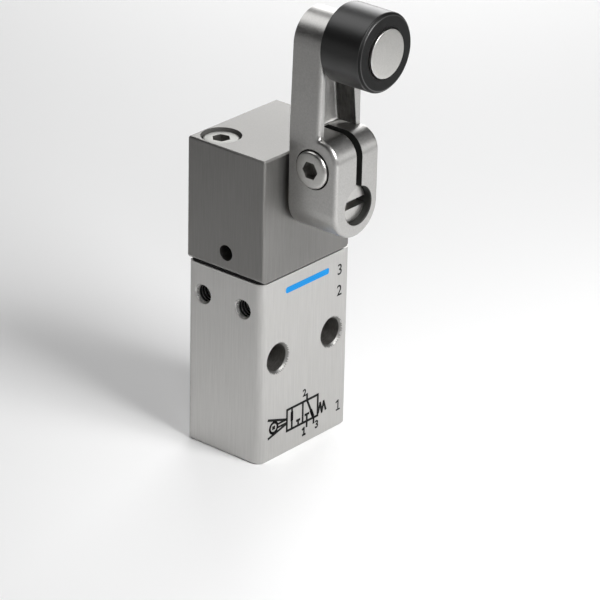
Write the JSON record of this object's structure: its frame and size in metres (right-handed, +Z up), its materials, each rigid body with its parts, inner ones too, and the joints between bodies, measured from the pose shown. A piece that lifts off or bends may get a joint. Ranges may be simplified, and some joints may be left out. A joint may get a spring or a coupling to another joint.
{
  "type": "roller lever air valve",
  "caption": "Small 3/2-way air valve: aluminium body with M5 ports, metal head, and a clamped swinging lever that ends in a free-turning roller.",
  "frame": {"origin": "on the valve axis, in the bottom face of the body", "axes": "+Z up along the valve axis, -Y towards the lever and the printed face, +X towards the three ports"},
  "size_m": [0.025, 0.0354, 0.0887],
  "materials": {
    "body_aluminium": "finely brushed, clear anodised",
    "head_metal": "brushed, greyer than the body",
    "lever_metal": "satin casting",
    "bright_steel": "bright turned",
    "spring_steel": "drawn wire",
    "brass": "turned",
    "rubber": "moulded black nitrile",
    "roller_plastic": "turned black plastic"
  },
  "bodies": {
    "valve": {"valve_body": "body_aluminium", "seat_insert": "brass", "seat_o_ring": "rubber", "spacer_cage": "brass", "stem_guide": "brass", "guide_o_rings": "rubber", "stem_o_rings": "rubber", "head_gasket": "rubber", "head_housing": "head_metal", "head_screws": "bright_steel", "front_bush": "brass", "rear_bush": "brass", "tappet_guide": "brass", "tappet_spring": "spring_steel", "poppet_spring": "spring_steel"},
    "lever_arm": {"lever": "lever_metal", "clamp_screw": "bright_steel", "lever_shaft": "bright_steel", "shaft_o_ring": "rubber", "cam": "bright_steel", "cam_pin": "spring_steel", "thrust_washer": "bright_steel", "roller_pin": "bright_steel", "roller_washer": "bright_steel"},
    "roller_wheel": {"roller": "roller_plastic"},
    "tappet_body": {"tappet": "bright_steel"},
    "stem_body": {"stem": "bright_steel"},
    "poppet_body": {"poppet": "brass", "poppet_seal": "rubber"}
  },
  "joints": [
    {"name": "lever_swing", "type": "hinge", "parent": "valve", "child": "lever_arm", "pos_m": [0, 0, 0.0514], "axis": [0, 1, 0], "range_deg": [-41, 41], "stiffness_Nm_per_rad": 0.25},
    {"name": "roller_spin", "type": "hinge", "parent": "lever_arm", "child": "roller_wheel", "pos_m": [0, 0, 0.0814], "axis": [0, 1, 0], "continuous": true},
    {"name": "tappet_slide", "type": "slide", "parent": "valve", "child": "tappet_body", "axis": [0, 0, -1], "range_m": [0, 0.001], "stiffness_N_per_m": 1500, "springref_m": -0.002, "deforming": ["tappet_spring"]},
    {"name": "stem_slide", "type": "slide", "parent": "valve", "child": "stem_body", "axis": [0, 0, -1], "range_m": [0, 0.001]},
    {"name": "poppet_slide", "type": "slide", "parent": "valve", "child": "poppet_body", "axis": [0, 0, -1], "range_m": [0, 0.0007], "stiffness_N_per_m": 500, "springref_m": -0.002, "deforming": ["poppet_spring"]}
  ],
  "couplings": [
    {"joint": "stem_slide", "follows": "tappet_slide", "ratio": 1},
    {"joint": "poppet_slide", "follows": "tappet_slide", "ratio": 0.7}
  ]
}
